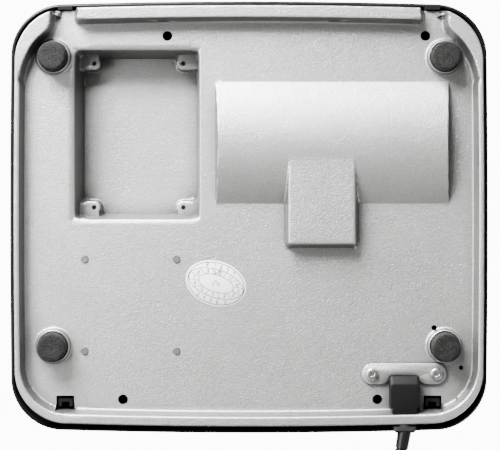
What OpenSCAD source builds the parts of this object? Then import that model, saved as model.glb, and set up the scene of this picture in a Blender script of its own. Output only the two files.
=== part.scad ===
// Platform weighing scale: a cast base on four rubber feet, a bending-beam load cell,
// and a moulded platform cover that hides both. Millimetres; it stands on z = 0,
// the front is -Y, and the cord leaves at the rear, +Y.

/* [Platform] */
// Width of the platform cover, left to right
platform_w = 310; // [300:1:380]
// Depth of the platform cover, front to back
platform_d = 280; // [270:1:340]
// Radius of the platform's corners
platform_corner_r = 32; // [26:1:38]
// How far the middle of the front and rear edges bows outward
front_bow = 3; // [0:0.5:5]
// How far the middle of the left and right edges bows outward
side_bow = 1.2; // [0:0.2:2]
// Thickness of the cover's skirt
skirt_t = 2.2; // [1.8:0.1:2.4]
// Thickness of the cover's top
cover_top_t = 3; // [2.5:0.1:4]
// Height of the skirt's lower edge above the ground
skirt_z = 20; // [17:0.5:26]
// Thickness of the rubber mat on top
mat_t = 2; // [1.5:0.1:4]
// Depth of the recess that holds the mat
mat_recess = 1; // [0.5:0.1:1.2]
// Distance from the platform's edge to the mat
mat_inset = 12; // [8:1:20]

/* [Cast base] */
// Gap between the base's side and the cover's outer edge
side_overhang = 5; // [4.5:0.5:8]
// The same gap at the front
front_overhang = 4.5; // [4.5:0.5:8]
// The same gap at the rear
rear_overhang = 7; // [5:0.5:9]
// Height of the rim's lower edge above the ground
rim_z = 4; // [2:0.5:6]
// Depth of the recess inside the rim
recess_h = 10; // [8:0.5:11]
// Thickness of the cast floor and of the bulge, the tab and the pocket's walls
floor_t = 3; // [2.5:0.1:3.5]
// Thickness of the base's outer wall
wall_t = 3.3; // [3:0.1:4]
// Width of the thicker rim along the front
front_rim_w = 7.5; // [4:0.5:8]
// Width of the thicker rim along the rear
rear_rim_w = 5.9; // [4:0.1:6.5]
// Height of the outer wall's upper edge above the ground
wall_top_z = 38; // [34:1:41]

/* [Pocket] */
// Width of the open pocket
pocket_w = 77.5; // [64:0.5:79]
// Length of the open pocket
pocket_d = 106; // [88:0.5:112]
// Depth of the open pocket above the floor
pocket_h = 24; // [20:0.5:25]
// Distance from the pocket's left and right walls to its fixing holes
pocket_hole_side = 9.75; // [8:0.25:12]
// Distance from the pocket's front and rear walls to its fixing holes
pocket_hole_end = 6.25; // [6:0.25:10]
// Diameter of the pocket's fixing holes
pocket_hole_d = 3; // [2:0.1:4]
// Height of the four corner bosses below the pocket's ceiling
pocket_boss_h = 12; // [8:0.5:14]

/* [Bulge and tab] */
// Length of the half-round bulge
bulge_len = 150; // [130:1:152]
// Width of the half-round bulge
bulge_w = 78; // [65:1:84]
// How far the bulge stands down from the floor
bulge_drop = 10; // [8:0.5:10]
// Width of the flat tab that runs back from the bulge
tab_w = 48; // [40:1:54]
// How far the tab runs past the bulge
tab_reach = 28.5; // [20:0.5:36]

/* [Feet] */
// Largest diameter of a rubber foot
foot_d = 18.6; // [15:0.1:22]
// Diameter of a foot's end
foot_end_d = 16.6; // [12:0.1:18]
// Wall of the cast ring round a foot
foot_ring_t = 1.4; // [1:0.1:3]

/* [Load cell] */
// Length of the load cell
cell_len = 130; // [120:1:150]
// Width of the load cell
cell_w = 30; // [25:1:32]
// Height of the load cell
cell_h = 22; // [20:0.2:26.4]
// Diameter of the load cell's bolts
bolt_d = 6; // [5:0.5:6]
// Distance between the two bolts of one end
bolt_gap = 15; // [13:0.5:18]
// Height of the cast pad under the load cell, above the floor
pad_h = 7; // [5:0.5:8]

/* [Platform carrier] */
// Thickness of the steel carrier plate
carrier_t = 3; // [2:0.5:4]
// Thickness of the spacer between load cell and carrier
spacer_t = 2; // [1:0.5:4]
// Thickness of the rubber pads between carrier and cover
pad_t = 3; // [2.9:0.1:4]
// Height of the ribs under the carrier
rib_h = 6; // [3:0.5:7]
// Travel of the platform before it meets the overload stops
stop_gap = 0.8; // [0.3:0.1:1.2]

/* [Circuit board] */
// Side of the square circuit board
board_side = 67; // [64:1:72]
// Distance between the board's screws
board_hole_gap = 59; // [54:1:60]
// Diameter of the board's screws
board_screw_d = 4; // [3:0.5:4]

/* [Cord] */
// Diameter of the signal cord
cord_d = 6; // [5:0.5:6]
// Diameter of the strain relief where it leaves the base
boot_d = 9.2; // [8:0.1:9.4]
// Diameter of the strain relief at its free end
boot_end_d = 7; // [6.5:0.1:8]
// Length of the strain relief
boot_len = 30; // [20:1:30]
// Diameter of the connector's turning ring
ring_d = 14; // [13:0.5:15]

/* [Hidden] */
$fn = 64;
fit = 0.1;
loose = 0.3;
deep = 1;
floor_z = rim_z + recess_h;
inner_z = floor_z + floor_t;
ceiling_z = floor_z + pocket_h;
cell_z = inner_z + pad_h;
cell_top_z = cell_z + cell_h;
carrier_z = cell_top_z + spacer_t;
carrier_top_z = carrier_z + carrier_t;
cover_z = carrier_top_z + pad_t;
cover_top_z = cover_z + cover_top_t;
mat_z = cover_top_z - mat_recess;

base_w = platform_w - 2 * side_overhang;
base_left = -base_w / 2;
base_right = base_w / 2;
base_front = -platform_d / 2 + front_overhang;
base_rear = platform_d / 2 - rear_overhang;
base_d = base_rear - base_front;
base_mid = (base_front + base_rear) / 2;
base_corner_r = platform_corner_r;

// Places, each measured from the base's nearest edges
foot_x = base_right - 24.5;
foot_front_y = base_front + 32.5;
foot_rear_y = base_rear - 50.5;
leg_x = base_right - 32;
notch_w = 16;
window_w = 11.5;
window_d = 9;
window_y = base_rear - 14;
pocket_x = base_left + 39.5 + pocket_w / 2;
pocket_y = base_front + 29.5 + pocket_d / 2;
pocket_hole_x = pocket_w - 2 * pocket_hole_side;
pocket_hole_y = pocket_d - 2 * pocket_hole_end;
pocket_boss_d = 9;
bulge_x = base_right - 21.5 - bulge_len / 2;
bulge_y = base_front + 48.5 + bulge_w / 2;
bulge_r = bulge_w * bulge_w / (8 * bulge_drop) + bulge_drop / 2;
bulge_axis_z = floor_z - bulge_drop + bulge_r;
tab_x = base_right - 79.5 - tab_w / 2;
tab_end_y = bulge_y + bulge_w / 2 + tab_reach;
tab_z = floor_z - bulge_drop + 0.6;
board_x = base_left + 44.5 + board_hole_gap / 2;
board_y = base_rear - 47 - board_hole_gap / 2;
board_z = inner_z + 7;
board_t = 1.6;
port_d = 6.4;
port_holes = [[base_left + 97.5, base_front + 18.8], [base_right - 36.6, base_front + 18.8],
              [base_left + 69, base_rear - 16], [base_right - 67.5, base_rear - 16]];
drain_holes = [[base_right - 31, base_rear - 62, 3.5], [base_right - 13.6, base_rear - 36.4, 2.9],
               [base_right - 16.6, base_rear - 16.8, 1.2]];
sticker_x = base_left + 128.8;
sticker_y = base_rear - 90.5;

// Load cell bolts, overload stops and the carrier
bolt_near = cell_len / 2 - 7.5;
bolt_rows = [bolt_near, bolt_near - bolt_gap];
head_h = 6;
stop_x = base_right - 13;
stop_y = base_front + 75.5;
stop_rear_y = base_rear - 73;
stop_post_d = 12;
carrier_w = base_w - 12;
carrier_d = base_d - 56;
nut_h = 5;

// Cord clamp
cord_x = base_right - 50.5;
cord_z = rim_z + 5;
clamp_y = base_rear - 32.7;
clamp_w = 54.5;
clamp_d = 14;
clamp_t = 2;
clamp_screw_gap = 41.2;
clamp_screw_d = 3.9;
block_w = 19.2;
block_front = clamp_y + 1.3;
block_rear = base_rear - 7.2;
block_z = rim_z + 1;
boot_lean = 9.3;
bushing_y = base_rear + 4.2;

// Free cord: its way from the strain relief to the coil, and from the coil to the plug
coil_x = 40;
coil_y = 240;
coil_mid_r = 33;
coil_half_w = 12;
coil_h = 12;
lead_points = [[94.6, 166, 9], [93.4, 174, 8.4], [92, 183, 7], [90.4, 192, 5.2], [88.6, 202, 3.8],
               [86.8, 212, 3.1], [85, 222, 3], [83.2, 231, 3], [82, 240, 3]];
tail_points = [[82, 240, 9], [82.2, 248, 8.6], [84, 257, 7.4], [88, 265, 5.8], [94, 271, 4.6],
               [101, 273.6, 4.2], [108, 271.6, 4.8], [113.4, 266, 5.8], [116.4, 258.4, 6.7],
               [117, 250, 7]];
plug_x = 117;
plug_y = 250;
plug_axis_z = ring_d / 2;
cell_lead_points = [[-16, 15, 30], [-20, 15.2, 29.6], [-25, 17, 28.4], [-30, 20.6, 27.6],
                    [-35, 26, 27.8], [-39, 32.4, 28.2], [-43, 39, 28.4]];
inner_lead_points = [[-43, 75.6, 28.6], [-38, 76.4, 28.2], [-32, 78, 25.6], [-25, 80.6, 21.8],
                     [-16, 84, 19.6], [10, 92, 19.3], [40, 101, 19.3], [70, 110, 19.3],
                     [86, 113, 19.8], [92.6, 113.5, 20.6], [97.2, 113.7, 19.6], [99.2, 113.8, 16.9],
                     [99.5, 113.8, 13.8]];

// Outline of a plate with round corners and bowed sides
corner_steps = 8;
side_steps = 8;
function corner(cx, cy, r, start) = [for (i = [0:corner_steps]) let (a = start + 90 * i / corner_steps)
    [cx + r * cos(a), cy + r * sin(a)]];
function between(p, q) = [for (i = [1:side_steps - 1]) p + (q - p) * i / side_steps];
function rounded(w, d, r) = let (a = w / 2 - r, b = d / 2 - r) concat(
    corner(a, b, r, 0), between([a, b + r], [-a, b + r]),
    corner(-a, b, r, 90), between([-a - r, b], [-a - r, -b]),
    corner(-a, -b, r, 180), between([-a, -b - r], [a, -b - r]),
    corner(a, -b, r, 270), between([a + r, -b], [a + r, b]));
function bowed(w, d, r) = let (w0 = w - 2 * side_bow, d0 = d - 2 * front_bow)
    [for (p = rounded(w0, d0, r))
        [p.x * (1 + 2 * side_bow / w0 * (1 - pow(2 * p.y / d0, 2))),
         p.y * (1 + 2 * front_bow / d0 * (1 - pow(2 * p.x / w0, 2)))]];
// Distance from the middle line to a bowed edge at sideways position x
function edge_at(x, w, d) = d / 2 - front_bow * pow(2 * x / w, 2);

module platform_outline(inset) {
    polygon(bowed(platform_w - 2 * inset, platform_d - 2 * inset, platform_corner_r - inset));
}

module base_outline(inset) {
    translate([0, base_mid])
        polygon(bowed(base_w - 2 * inset, base_d - 2 * inset, base_corner_r - inset));
}

module rounded_box(w, d, h, r) {
    linear_extrude(h) polygon(rounded(w, d, r));
}

module peg(x, y, z, d, h) {
    translate([x, y, z]) cylinder(d = d, h = h);
}

// A round tube along a list of points, closed at both ends
function unit(v) = v / norm(v);
function heading(p, i) = unit(p[min(i + 1, len(p) - 1)] - p[max(i - 1, 0)]);
function ring(p, i, r, n) = let (t = heading(p, i), u = unit(cross([0, 0, 1], t)), v = cross(t, u))
    [for (k = [0:n - 1]) p[i] + r * (cos(360 * k / n) * u + sin(360 * k / n) * v)];
module tube(p, d, n) {
    last = len(p) - 1;
    polyhedron(
        points = [for (i = [0:last]) each ring(p, i, d / 2, n)],
        faces = concat(
            [[for (k = [0:n - 1]) k]],
            [[for (k = [n - 1:-1:0]) last * n + k]],
            [for (i = [0:last - 1], k = [0:n - 1]) let (j = (k + 1) % n)
                [(i + 1) * n + k, (i + 1) * n + j, i * n + j, i * n + k]]));
}

// Places that several pieces share
foot_places = [[-foot_x, foot_front_y], [foot_x, foot_front_y], [-foot_x, foot_rear_y],
               [foot_x, foot_rear_y]];
stop_places = [[-stop_x, stop_y], [stop_x, stop_y], [-stop_x, stop_rear_y], [stop_x, stop_rear_y]];
board_holes = [for (i = [-1, 1], j = [-1, 1])
    [board_x + i * board_hole_gap / 2, board_y + j * board_hole_gap / 2]];
clamp_holes = [for (i = [-1, 1]) [cord_x + i * clamp_screw_gap / 2, clamp_y]];
front_leg_y = -edge_at(leg_x, platform_w, platform_d) + skirt_t + loose + fit;
leg_t = 2.2;
leg_w = 9;
leg_foot = 13;

// The base is one casting: its floor, its outer wall, its pocket and its bulge meet face to face
module base_floor() {
    color("silver") difference() {
        union() {
            translate([0, 0, floor_z]) linear_extrude(floor_t) base_outline(wall_t);
            floor_bosses();
        }
        pocket_box();
        bulge_skin(0);
        tab_block(0);
        base_holes();
    }
}

// Outer wall, with a wider rim below the floor along the front and rear and in the front corners
module base_wall() {
    color("silver") difference() {
        union() {
            difference() {
                translate([0, 0, rim_z]) linear_extrude(wall_top_z - rim_z) base_outline(0);
                translate([0, 0, rim_z - deep]) linear_extrude(wall_top_z) base_outline(wall_t);
            }
            translate([0, 0, rim_z]) linear_extrude(recess_h) intersection() {
                base_outline(wall_t);
                thick_rim();
            }
        }
        base_holes();
    }
}

module base_pocket() {
    color("silver") difference() {
        pocket_box();
        pocket_room();
    }
}

module base_bulge() {
    color("silver") difference() {
        union() {
            bulge_skin(0);
            tab_block(0);
        }
        bulge_hollow();
    }
}

module thick_rim() {
    inner = base_front + front_rim_w;
    rim_half = leg_x - notch_w / 2;
    translate([-rim_half, base_front - deep]) square([2 * rim_half, inner - base_front + deep]);
    translate([-base_w / 2, base_rear - rear_rim_w]) square([base_w, rear_rim_w + deep]);
    for (side = [-1, 1]) mirror([side < 0 ? 1 : 0, 0]) polygon([
        [base_right + 1, base_front - 1], [base_right - 23.4, base_front - 1],
        [base_right - 23.4, base_front + 11.5], [base_right - 20.5, base_front + 16.5],
        [base_right - 13, base_front + 22.7], [base_right - 6, base_front + 34.5],
        [base_right - 2.8, base_front + 47.5], [base_right + 1, base_front + 47.5]]);
}

module pocket_box() {
    w = pocket_w + 2 * floor_t;
    d = pocket_d + 2 * floor_t;
    translate([pocket_x, pocket_y, floor_z]) rounded_box(w, d, pocket_h + floor_t, 5);
}

module pocket_room() {
    difference() {
        translate([pocket_x, pocket_y, floor_z - deep]) rounded_box(pocket_w, pocket_d, pocket_h + deep, 3);
        for (i = [-1, 1], j = [-1, 1]) translate([pocket_x, pocket_y]) difference() {
            corner_boss(i, j);
            peg(i * pocket_hole_x / 2, j * pocket_hole_y / 2, ceiling_z - pocket_boss_h - deep,
                pocket_hole_d, pocket_boss_h);
        }
    }
}

// Quarter-round boss in one corner of the pocket
module corner_boss(i, j) {
    x = i * pocket_hole_x / 2;
    y = j * pocket_hole_y / 2;
    z = ceiling_z - pocket_boss_h;
    h = pocket_boss_h + deep;
    peg(x, y, z, pocket_boss_d, h);
    translate([min(x, i * pocket_w / 2), y - pocket_boss_d / 2, z])
        cube([abs(pocket_w / 2 - pocket_hole_x / 2), pocket_boss_d, h]);
    translate([x - pocket_boss_d / 2, min(y, j * pocket_d / 2), z])
        cube([pocket_boss_d, abs(pocket_d / 2 - pocket_hole_y / 2), h]);
    translate([min(x, i * pocket_w / 2), min(y, j * pocket_d / 2), z])
        cube([abs(pocket_w / 2 - pocket_hole_x / 2), abs(pocket_d / 2 - pocket_hole_y / 2), h]);
}

module bulge_skin(inset) {
    intersection() {
        translate([bulge_x - bulge_len / 2 + inset, bulge_y, bulge_axis_z]) rotate([0, 90, 0])
            cylinder(r = bulge_r - inset, h = bulge_len - 2 * inset, $fn = 128);
        translate([bulge_x - bulge_len, bulge_y - bulge_w, 0]) cube([2 * bulge_len, 2 * bulge_w, inner_z]);
    }
}

module tab_block(inset) {
    d = tab_end_y - bulge_y;
    translate([tab_x, bulge_y + d / 2, tab_z + inset])
        rounded_box(tab_w - 2 * inset, d - 2 * inset, inner_z - tab_z - inset, 3);
}

module bulge_hollow() {
    translate([0, 0, fit / 10]) {
        bulge_skin(floor_t);
        tab_block(floor_t);
    }
}

module floor_bosses() {
    for (p = foot_places) peg(p.x, p.y, floor_z - 4.5, foot_d + 2 * (fit + foot_ring_t), 4.5 + deep);
    for (p = board_holes) peg(p.x, p.y, inner_z - deep, board_screw_d + 4, board_z - inner_z + deep);
    for (p = stop_places) peg(p.x, p.y, inner_z - deep, stop_post_d, 23 + deep);
    for (p = clamp_holes) peg(p.x, p.y, inner_z - deep, 8, 6 + deep);
    translate([-cell_w / 2 - 1, cell_len / 2 - 30, inner_z - deep]) cube([cell_w + 2, 31, pad_h + deep]);
    translate([-foot_x + 9, foot_front_y - 3, floor_z - 2]) cube([1.4, 3, 2 + deep]);
}

module base_holes() {
    for (p = foot_places) peg(p.x, p.y, rim_z, foot_d + 2 * fit, recess_h);
    for (p = board_holes) peg(p.x, p.y, rim_z, board_screw_d + fit, board_z);
    for (p = port_holes) peg(p.x, p.y, rim_z, port_d, 20);
    for (p = drain_holes) peg(p.x, p.y, rim_z, p.z, 20);
    for (p = clamp_holes) peg(p.x, p.y, rim_z, clamp_screw_d + fit, 18);
    for (p = stop_places) peg(p.x, p.y, inner_z + 3, bolt_d + fit, 30);
    for (y = bolt_rows) peg(0, y, floor_z + 1.2, bolt_d + fit, 20);
    peg(cord_x, block_rear - 12, floor_z - deep, 8, floor_t + 2 * deep);
    translate([cord_x, base_rear - 12, cord_z]) rotate([-90, 0, 0]) cylinder(d = boot_d + 2 * fit, h = 20);
    for (side = [-1, 1]) {
        translate([side * leg_x - window_w / 2, window_y - window_d / 2, rim_z])
            cube([window_w, window_d, 20]);
        translate([side * leg_x - notch_w / 2, base_front - deep, rim_z - deep])
            cube([notch_w, front_rim_w + 3, recess_h + deep]);
        translate([side * leg_x - notch_w / 2, front_leg_y - 5, rim_z - deep])
            cube([notch_w, 5 + leg_t + 1, wall_top_z]);
    }
}

module foot(i) {
    color("dimgray") translate([foot_places[i].x, foot_places[i].y, 0]) {
        translate([0, 0, 0.8]) cylinder(d1 = foot_end_d, d2 = foot_d, h = floor_z - 5.8);
        translate([0, 0, floor_z - 5]) cylinder(d = foot_d, h = 5);
        cylinder(d1 = foot_end_d - 1.6, d2 = foot_end_d, h = 0.8);
    }
}

module load_cell() {
    color("lightgray") difference() {
        translate([-cell_w / 2, -cell_len / 2, cell_z]) cube([cell_w, cell_len, cell_h]);
        for (y = [-13, 13]) translate([-cell_w, y, cell_z + cell_h / 2]) rotate([0, 90, 0])
            cylinder(d = 14, h = 2 * cell_w);
        translate([-cell_w, -13, cell_z + cell_h / 2 - 2.5]) cube([2 * cell_w, 26, 5]);
        for (y = bolt_rows, side = [-1, 1]) peg(0, side * y, cell_z - deep, bolt_d + fit, cell_h + 2 * deep);
        for (y = bolt_rows) peg(0, y, cell_top_z - head_h - 0.5, 11, head_h + deep);
    }
}

module gauge_covers() {
    color("white") for (side = [-1, 1])
        translate([side * (cell_w / 2 + 0.5) - 0.5, -22, cell_z + 3]) cube([1, 30, cell_h - 6]);
}

module socket_bolt(x, y, z, shaft, head) {
    translate([x, y, z]) difference() {
        union() {
            cylinder(d = bolt_d, h = shaft);
            translate([0, 0, shaft]) cylinder(d = 10, h = head);
        }
        translate([0, 0, shaft + head - 2]) cylinder(d = 5.5, h = 3, $fn = 6);
    }
}

module cell_base_bolts() {
    color("dimgray") for (y = bolt_rows)
        socket_bolt(0, y, floor_z + 2, cell_top_z - head_h - 0.5 - floor_z - 2, head_h);
}

module cell_top_bolts() {
    color("dimgray") for (y = bolt_rows) socket_bolt(0, -y, cell_z + 6, carrier_top_z - cell_z - 6, 2.8);
}

module cell_top_spacer() {
    color("gray") difference() {
        translate([-cell_w / 2, -cell_len / 2, cell_top_z]) cube([cell_w, 30, spacer_t]);
        for (y = bolt_rows) peg(0, -y, cell_top_z - deep, bolt_d + fit, spacer_t + 2 * deep);
    }
}

module carrier_plate() {
    color("gainsboro") difference() {
        translate([0, base_mid, carrier_z]) rounded_box(carrier_w, carrier_d, carrier_t, 18);
        for (y = bolt_rows) peg(0, -y, carrier_z - deep, bolt_d + fit, carrier_t + 2 * deep);
        for (y = bolt_rows) peg(0, y, carrier_z - deep, 12, carrier_t + 2 * deep);
        for (x = [-96, -40, 40, 96], y = [-55, 0, 55])
            peg(x, y + base_mid, carrier_z - deep, 26, carrier_t + 2 * deep);
    }
}

module carrier_ribs() {
    long_y = carrier_d / 2 - 8;
    color("gainsboro") for (side = [-1, 1]) {
        translate([-carrier_w / 2 + 22, base_mid + side * long_y - 1, carrier_z - rib_h])
            cube([carrier_w - 44, 2, rib_h]);
        translate([side * 66 - 1, base_mid - carrier_d / 2 + 12, carrier_z - rib_h])
            cube([2, carrier_d - 24, rib_h]);
    }
}

module cover_pads() {
    color("black") for (i = [-1, 1], j = [-1, 1])
        translate([i * (carrier_w / 2 - 28) - 10, base_mid + j * (carrier_d / 2 - 24) - 10, carrier_top_z])
            cube([20, 20, pad_t]);
}

// The cover is one moulding: its top and its skirt meet face to face
module platform_cover() {
    color("black") difference() {
        union() {
            translate([0, 0, cover_z]) linear_extrude(cover_top_t - 1.2) platform_outline(0);
            translate([0, 0, cover_top_z - 1.2]) linear_extrude(1.2) platform_outline(1.2);
        }
        translate([0, 0, mat_z]) linear_extrude(cover_top_z) platform_outline(mat_inset);
        for (p = leg_screw_places) peg(p.x, p.y, cover_z - deep, 2.7, 1.6 + deep);
    }
}

module cover_skirt() {
    color("black") translate([0, 0, skirt_z]) linear_extrude(cover_z - skirt_z) difference() {
        platform_outline(0);
        platform_outline(skirt_t);
    }
}

// Angle-shaped legs: the front pair hangs outside the base's wall, the rear pair in the windows
rear_leg_y = window_y - leg_t / 2 - 1.5;
leg_screw_places = [for (side = [-1, 1], p = [[front_leg_y + leg_t + 6, 0], [rear_leg_y - 6, 0]])
    [side * leg_x, p.x]];
module cover_legs() {
    color("black") for (side = [-1, 1]) translate([side * leg_x - leg_w / 2, 0, 0]) difference() {
        union() {
            translate([0, front_leg_y, floor_z - 2]) cube([leg_w, leg_t, cover_z - floor_z + 2]);
            translate([0, front_leg_y, cover_z - 2]) cube([leg_w, leg_foot, 2]);
            translate([0, rear_leg_y, floor_z + 0.8]) cube([leg_w, leg_t, cover_z - floor_z - 0.8]);
            translate([0, rear_leg_y, floor_z + 0.8]) cube([leg_w, 5, 22]);
            translate([0, rear_leg_y + leg_t - leg_foot, cover_z - 2]) cube([leg_w, leg_foot, 2]);
        }
        translate([2, rear_leg_y + leg_t, floor_z]) cube([leg_w - 4, 6, 24]);
        for (p = [front_leg_y + leg_t + 6, rear_leg_y - 6])
            peg(leg_w / 2, p, cover_z - 2 - deep, 2.7, 2 + 2 * deep);
    }
}

module leg_screws() {
    color("silver") for (p = leg_screw_places) {
        peg(p.x, p.y, cover_z - 3.4, 5, 1.4);
        peg(p.x, p.y, cover_z - 2.2, 2.6, 3.6);
    }
}

module top_mat() {
    color("black") translate([0, 0, mat_z]) linear_extrude(mat_t) platform_outline(mat_inset + fit);
}

module overload_screws() {
    color("silver") for (p = stop_places)
        peg(p.x, p.y, inner_z + 10, bolt_d, carrier_z - stop_gap - inner_z - 10);
}

module overload_nuts() {
    color("silver") for (p = stop_places) translate([p.x, p.y, inner_z + 23]) difference() {
        cylinder(d = 11.5, h = nut_h, $fn = 6);
        translate([0, 0, -deep]) cylinder(d = bolt_d + fit, h = nut_h + 2 * deep);
    }
}

module circuit_board() {
    color("green") difference() {
        translate([board_x - board_side / 2, board_y - board_side / 2, board_z])
            cube([board_side, board_side, board_t]);
        for (p = board_holes) peg(p.x, p.y, board_z - deep, board_screw_d + fit, board_t + 2 * deep);
    }
}

module board_screws() {
    color("silver") for (p = board_holes) {
        peg(p.x, p.y, floor_z - 0.8, board_screw_d, board_z + board_t - floor_z + 0.8);
        peg(p.x, p.y, board_z + board_t, board_screw_d + 3.6, 2.4);
    }
}

module board_block(x, y, w, d, h) {
    translate([board_x + x - w / 2, board_y + y - d / 2, board_z + board_t]) cube([w, d, h]);
}

module board_chip() {
    color("black") board_block(-6, 4, 14, 14, 1.6);
}

module board_header() {
    color("white") board_block(board_side / 2 - 4, -(board_side / 2 - 17), 8, 10, 6);
}

module board_output_header() {
    color("white") board_block(board_side / 2 - 4, board_side / 2 - 16.5, 8, 14, 6);
}

module board_capacitors() {
    color("navy") for (i = [0, 1, 2])
        peg(board_x - 20 + 9 * i, board_y - 18, board_z + board_t, 6, 9);
}

module cell_lead() {
    color("dimgray") tube(cell_lead_points, 3, 8);
}

module inner_lead() {
    color("dimgray") tube(inner_lead_points, 4, 8);
}

module clamp_plate() {
    color("silver") translate([cord_x, clamp_y, floor_z - clamp_t]) difference() {
        rounded_box(clamp_w, clamp_d, clamp_t, clamp_d / 2 - 0.2);
        translate([-block_w / 2 - fit, 1.3 - fit, -deep])
            cube([block_w + 2 * fit, clamp_d, clamp_t + 2 * deep]);
        for (i = [-1, 1]) peg(i * clamp_screw_gap / 2, 0, -deep, clamp_screw_d + fit, clamp_t + 2 * deep);
    }
}

module clamp_screws() {
    color("silver") for (p = clamp_holes) {
        peg(p.x, p.y, floor_z - clamp_t, clamp_screw_d, floor_t + clamp_t + 4);
        difference() {
            peg(p.x, p.y, floor_z - clamp_t - 2.4, 7.6, 2.4);
            translate([p.x, p.y, floor_z - clamp_t - 2.5]) for (a = [0, 90]) rotate([0, 0, a])
                translate([-2.2, -0.5, 0]) cube([4.4, 1, 1.5]);
        }
    }
}

module cable_block() {
    color("black") translate([cord_x - block_w / 2, block_front, block_z]) difference() {
        cube([block_w, block_rear - block_front, floor_z - block_z]);
        translate([-deep, -deep, -deep]) cube([block_w + 2 * deep, 4, 2.2]);
    }
}

module cord_bushing() {
    y = block_rear;
    color("black") {
        translate([cord_x, y, cord_z]) rotate([-90, 0, 0]) cylinder(d = boot_d, h = bushing_y - y);
        translate([cord_x - 7.2, base_rear + 0.2, cord_z - 4.4])
            cube([14.4, bushing_y - base_rear - 0.2, 8.8]);
    }
}

module cord_boot() {
    color("black") translate([cord_x, bushing_y - 0.8, cord_z]) rotate([0, 0, boot_lean])
        rotate([-90, 0, 0]) cylinder(d1 = boot_d - 0.4, d2 = boot_end_d, h = boot_len);
}

module signal_cord() {
    color("black") tube(lead_points, cord_d, 12);
}

module cord_tail() {
    color("black") tube(tail_points, cord_d, 12);
}

module cord_coil() {
    color("black") translate([coil_x, coil_y, 0]) rotate_extrude() translate([coil_mid_r, 0])
        polygon([[-coil_half_w, 2], [-coil_half_w + 2, 0], [coil_half_w - 2, 0], [coil_half_w, 2],
                 [coil_half_w, coil_h - 2], [coil_half_w - 2, coil_h], [2 - coil_half_w, coil_h],
                 [-coil_half_w, coil_h - 2]]);
}

module cord_tie() {
    w = 2 * coil_half_w;
    color("gray") translate([coil_x - coil_mid_r - coil_half_w, coil_y - 5, 0]) difference() {
        translate([-1, 0, 0]) cube([w + 2, 10, coil_h + 1]);
        translate([0, -deep, 1]) cube([w, 12, coil_h - 1]);
    }
}

module along_plug(start, d, h) {
    translate([plug_x, plug_y - start, plug_axis_z]) rotate([90, 0, 0]) cylinder(d = d, h = h);
}

module plug_shell() {
    color("silver") {
        along_plug(0, 8.6, 8);
        along_plug(7, 12, 20);
        along_plug(27, 10, 14);
    }
}

module plug_ring() {
    color("silver") difference() {
        along_plug(27.6, ring_d, 12);
        along_plug(27, 10 + 2 * loose, 14);
    }
}

module plug_core() {
    color("black") {
        along_plug(41, 11.6, 1.2);
        along_plug(42, 8.4, 1.6);
        for (a = [0:72:288]) translate([plug_x, plug_y - 43, plug_axis_z]) rotate([90, a, 0])
            translate([2.6, 0, 0]) cylinder(d = 1, h = 3.4);
    }
}

module date_sticker() {
    color("white") translate([sticker_x, sticker_y, floor_z - 0.2]) rotate([0, 0, 18])
        linear_extrude(0.2) polygon([for (a = [0:7.5:352.5]) [20 * cos(a), 14.5 * sin(a)]]);
}

base_floor();
base_wall();
base_pocket();
base_bulge();
foot(0);  // foot_front_left
foot(1);  // foot_front_right
foot(2);  // foot_rear_left
foot(3);  // foot_rear_right
load_cell();
gauge_covers();
cell_base_bolts();
cell_top_bolts();
cell_top_spacer();
carrier_plate();
carrier_ribs();
cover_pads();
platform_cover();
cover_skirt();
cover_legs();
leg_screws();
top_mat();
overload_screws();
overload_nuts();
circuit_board();
board_screws();
board_chip();
board_header();
board_output_header();
board_capacitors();
cell_lead();
inner_lead();
clamp_plate();
clamp_screws();
cable_block();
cord_bushing();
cord_boot();
signal_cord();
cord_tail();
cord_coil();
cord_tie();
plug_shell();
plug_core();
plug_ring();
date_sticker();
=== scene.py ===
import math

import bpy
import numpy as np
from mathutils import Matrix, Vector
from mathutils.geometry import delaunay_2d_cdt


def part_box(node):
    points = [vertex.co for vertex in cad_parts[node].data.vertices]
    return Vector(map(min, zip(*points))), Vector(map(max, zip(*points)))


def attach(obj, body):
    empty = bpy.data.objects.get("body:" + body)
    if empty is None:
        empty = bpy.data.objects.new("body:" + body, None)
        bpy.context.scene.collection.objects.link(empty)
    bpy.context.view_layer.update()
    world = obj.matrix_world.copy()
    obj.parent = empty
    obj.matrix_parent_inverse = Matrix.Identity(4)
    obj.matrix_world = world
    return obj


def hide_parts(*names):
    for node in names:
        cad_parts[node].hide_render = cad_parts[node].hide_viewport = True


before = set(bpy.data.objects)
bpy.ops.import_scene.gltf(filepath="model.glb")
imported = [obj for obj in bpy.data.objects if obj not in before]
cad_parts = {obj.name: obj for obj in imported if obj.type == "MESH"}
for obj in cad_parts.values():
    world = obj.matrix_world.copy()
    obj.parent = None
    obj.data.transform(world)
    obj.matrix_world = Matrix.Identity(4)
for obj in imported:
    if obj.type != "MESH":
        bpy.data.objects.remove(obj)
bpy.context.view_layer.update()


# The studio: the scale stands on a pale floor, and the camera looks straight up at its
# underside. The floor is clear from below, so that it never hides what stands on it.
CAMERA_HEIGHT = -1.0
CAMERA_LENS = 113.57
FLOOR_SIDE = 4.0

camera = bpy.data.objects.new("camera", bpy.data.cameras.new("camera"))
bpy.context.scene.collection.objects.link(camera)
camera.data.lens = CAMERA_LENS
camera.data.sensor_width = 36.0
camera.data.clip_end = 20.0
camera.data.shift_y = -0.09
camera.location = (0.00065, -0.02406, CAMERA_HEIGHT)
camera.rotation_euler = (math.pi, 0.0, 0.0)
bpy.context.scene.camera = camera


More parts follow.
